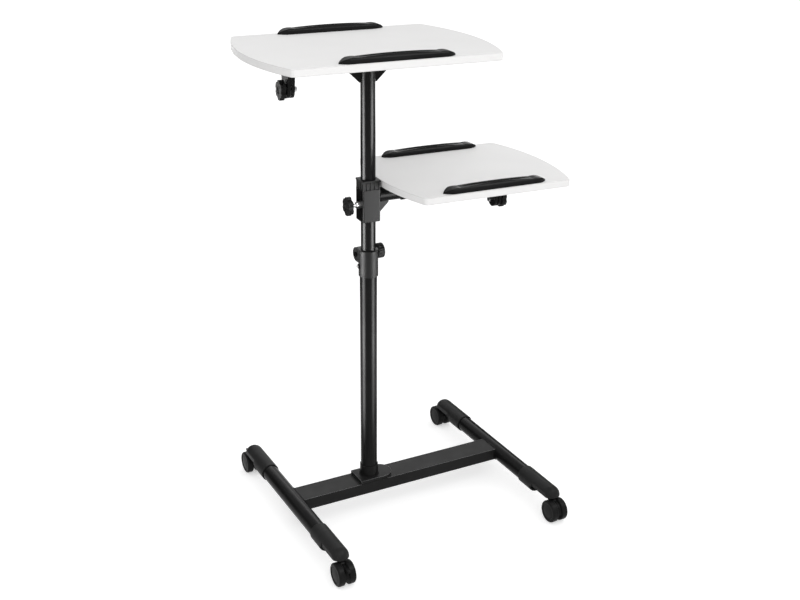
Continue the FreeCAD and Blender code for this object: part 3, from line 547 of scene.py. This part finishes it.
def screw_head(name, seat, outward, radius, height, body, slot_name="bright_steel"):
    """A domed screw head with a cross recess, standing on its seat."""
    outward = outward.normalized()
    side = outward.orthogonal().normalized()
    up = outward.cross(side)
    angles = round_angles(HEAD_STEPS)
    points = []
    for share, rise in HEAD_PROFILE:
        level = seat + outward * height * rise
        points += [round_point(level, side, up, radius * share, angle) for angle in angles]
    for share, rise in RECESS_PROFILE:
        level = seat + outward * height * rise
        for angle in angles:
            points.append(round_point(level, side, up, radius * share * cross_hole(angle), angle))
    rings = len(HEAD_PROFILE) + len(RECESS_PROFILE)
    recess_bottom = end_faces(rings, HEAD_STEPS)[1]
    add_piece(name, points, ring_faces(rings, HEAD_STEPS) + [recess_bottom], body, slot_name)


def screws_under(name, turn, body):
    """Heads under a board: through the saddle feet and under the ledges."""
    underside = low(f"{name}_board").z
    saddle = centre_in(turn, f"{name}_saddle")
    for end, y in (("front", -SADDLE_SCREW_REACH), ("rear", SADDLE_SCREW_REACH)):
        seat = spot(turn, saddle.x, y, underside - SADDLE_STRAP)
        screw_head(f"{name}_saddle_screw_{end}", seat, -UP, BOARD_HEAD, SADDLE_HEAD_HEIGHT, body)
    middle = centre_in(turn, f"{name}_front_ledge").x
    for end in ("front", "rear"):
        ledge = centre_in(turn, f"{name}_{end}_ledge")
        for side, x in (("left", -LEDGE_SCREW_REACH), ("right", LEDGE_SCREW_REACH)):
            seat = spot(turn, middle + x, ledge.y, underside)
            screw_head(f"{name}_ledge_screw_{end}_{side}", seat, -UP, BOARD_HEAD, LEDGE_HEAD_HEIGHT, body)


def add_screws():
    screws_under("table", TABLE_TURN, "upper_table")
    screws_under("shelf", SHELF_TURN, "side_shelf")
    seat = COLUMN + high("clamp_collar").z * UP + SET_SCREW_PLACE
    screw_head("collar_set_nut", seat, SET_SCREW_OUTWARD, *SET_NUT_HEAD, "base", "black_steel")
    screw_head("collar_set_screw", seat, SET_SCREW_OUTWARD, *SET_SCREW_HEAD, "base")


# Camera, with its place from the column's foot, its angles in radians and the picture's own sizes in pixels

VIEW_AZIMUTH = 0.472
VIEW_DROP = 0.3905
CAMERA_PLACE = Vector((-1.0656, -2.1304, 1.4919))
FOCAL_PIXELS = 1164.9
IMAGE_WIDTH, IMAGE_HEIGHT = 800, 600
PRINCIPAL = (377.3, 302.6)
SENSOR_WIDTH = 36.0
TO_CAMERA = Vector((-math.sin(VIEW_AZIMUTH), -math.cos(VIEW_AZIMUTH), 0))
TO_RIGHT = Vector((math.cos(VIEW_AZIMUTH), -math.sin(VIEW_AZIMUTH), 0))


def add_camera():
    camera = bpy.data.cameras.new("camera")
    camera.sensor_fit = "HORIZONTAL"
    camera.sensor_width = SENSOR_WIDTH
    camera.lens = SENSOR_WIDTH * FOCAL_PIXELS / IMAGE_WIDTH
    camera.shift_x = (IMAGE_WIDTH / 2 - PRINCIPAL[0]) / IMAGE_WIDTH
    camera.shift_y = (PRINCIPAL[1] - IMAGE_HEIGHT / 2) / IMAGE_WIDTH
    holder = bpy.data.objects.new("camera", camera)
    backward = TO_CAMERA * math.cos(VIEW_DROP) + UP * math.sin(VIEW_DROP)
    upward = backward.cross(TO_RIGHT)
    turn = Matrix((TO_RIGHT, upward, backward)).transposed().to_4x4()
    holder.matrix_world = Matrix.Translation(CAMERA_PLACE + COLUMN) @ turn
    bpy.context.scene.collection.objects.link(holder)
    bpy.context.scene.camera = holder


# Stage and light: bearings are in degrees from the camera's side of the column, positive to the right

FLOOR_HALF = 14.0
WORLD_STRENGTH = 0.86
WORLD_SLANT = 0.24
GRID = math.radians(54)
KEY = dict(bearing=12, radiance=2.3, distance=2.6, height=2.5, size=(2.2, 1.6), aim_height=0.9)
TALL_STRIP = dict(distance=0.9, height=0.41, size=(0.74, 0.8), aim_height=0.63, beam=GRID, sheen_only=True)
LOW_STRIP = dict(distance=0.45, height=0.13, size=(0.37, 0.25), aim_height=0.3, beam=GRID, sheen_only=True)
# Side, bearing, and the radiance for the mast's group, for the lower column and for its foot
SIDE_STRIPS = (("left", -67, 90, 50, 36), ("right", 67, 60, 40, 16))
RIM_STRIP = dict(bearing=180, radiance=3.2, distance=1.2, height=0.8, size=(2.0, 0.4), aim_height=0.8)
EDGE_STRIP = dict(bearing=64, radiance=14.0, distance=1.6, height=2.0, size=(1.3, 0.5), aim_height=0.1)
CARDS = (("left_card", -135), ("right_card", 140))
CARD_DISTANCE = 1.3
CARD_SIZE = (1.5, 0.62)
CARD_FINISH = moulded("black_card", (0.01, 0.014), (0.8, 0.9), 2 * MM, 0.01 * MM)
MAST_GROUP = ("mast", "clamp_collar", "collar_knob", "shelf_sleeve", "shelf_bush", "sleeve_knob",
              "shelf_arm", "arm_gusset_plate")
LOWER_COLUMN = ("lower_mast", "column_socket")


def add_stage():
    corners = [(-FLOOR_HALF, -FLOOR_HALF, 0), (FLOOR_HALF, -FLOOR_HALF, 0),
               (FLOOR_HALF, FLOOR_HALF, 0), (-FLOOR_HALF, FLOOR_HALF, 0)]
    floor = add_mesh("floor", corners, [(0, 1, 2, 3)], floor_finish())


def add_world():
    """A surround that lights the object a little more from the right, and looks plain white."""
    world = bpy.data.worlds.new("studio")
    bpy.context.scene.world = world
    world.use_nodes = True
    tree = NodeTree(world.node_tree)
    rightward = tree.dot(tree.node("TexCoord").outputs["Generated"], TO_RIGHT)
    slanted = tree.maths("MULTIPLY_ADD", rightward, WORLD_SLANT, WORLD_STRENGTH)
    background = tree.nodes["Background"]
    tree.set(background.inputs["Color"], WHITE)
    tree.set(background.inputs["Strength"], tree.spread(tree.seen(), slanted, 1.0, start=0, stop=1))


def towards(bearing):
    return math.cos(math.radians(bearing)) * TO_CAMERA + math.sin(math.radians(bearing)) * TO_RIGHT


def add_softbox(name, bearing, radiance, distance, height, size, aim_height, beam=math.pi, sheen_only=False):
    """An area lamp at a bearing from the camera's side, aimed at a height on the column.

    A beam under a half circle stands for a grid on the lamp, and the radiance is the one on its axis.
    A lamp for the sheen alone is left out of diffuse light.
    """
    lamp = bpy.data.lights.new(name, "AREA")
    lamp.shape = "RECTANGLE"
    lamp.size, lamp.size_y = size
    lamp.spread = beam
    lamp.energy = radiance * math.pi * size[0] * size[1] * (1 - beam / 2 / math.tan(beam / 2))
    holder = bpy.data.objects.new(name, lamp)
    holder.location = COLUMN + towards(bearing) * distance + height * UP
    aim = COLUMN + aim_height * UP - holder.location
    holder.rotation_euler = aim.to_track_quat("-Z", "Y").to_euler()
    holder.visible_camera = False
    holder.visible_diffuse = not sheen_only
    bpy.context.scene.collection.objects.link(holder)
    return holder


def light_only(holder, names):
    """Keep a lamp's light to these nodes and pieces."""
    lit = bpy.data.collections.new(f"{holder.name}_lit")
    for name in names:
        lit.objects.link(NODES.get(name) or bpy.data.objects[name])
    holder.light_linking.receiver_collection = lit


def add_card(name, bearing):
    """A black card that stands on the floor and shows only in the sheen of surfaces."""
    direction = towards(bearing)
    width, height = CARD_SIZE
    across = Vector((-direction.y, direction.x, 0)) * width / 2
    foot = COLUMN + direction * CARD_DISTANCE
    rise = height * UP
    corners = [foot - across, foot + across, foot + across + rise, foot - across + rise]
    card = add_mesh(name, corners, [(0, 1, 2, 3)], CARD_FINISH)
    for use in ("camera", "diffuse", "transmission", "volume_scatter", "shadow"):
        setattr(card, f"visible_{use}", False)


def add_light():
    """A white surround and a soft key, then what only the sheen shows.

    Strips at both sides draw the stripes on the mast and the lower column. A rim strip behind and an edge
    strip high on the right draw the edges, and two black cards behind keep the dark faces dark.
    """
    add_world()
    add_softbox("key_softbox", **KEY)
    for side, bearing, for_mast, for_column, for_foot in SIDE_STRIPS:
        light_only(add_softbox(f"{side}_mast_strip", bearing, for_mast, **TALL_STRIP), MAST_GROUP)
        light_only(add_softbox(f"{side}_column_strip", bearing, for_column, **TALL_STRIP), LOWER_COLUMN)
        light_only(add_softbox(f"{side}_low_strip", bearing, for_foot, **LOW_STRIP), LOWER_COLUMN)
    add_softbox("rim_strip", **RIM_STRIP, sheen_only=True)
    add_softbox("edge_strip", **EDGE_STRIP, sheen_only=True)
    for name, bearing in CARDS:
        add_card(name, bearing)


dress_nodes()
weld_crossbar()
weld_plate()
weld_mast()
weld_arm()
add_arm_gusset()
add_screws()
add_stage()
add_light()
add_camera()
bpy.context.scene.view_settings.view_transform = "Standard"
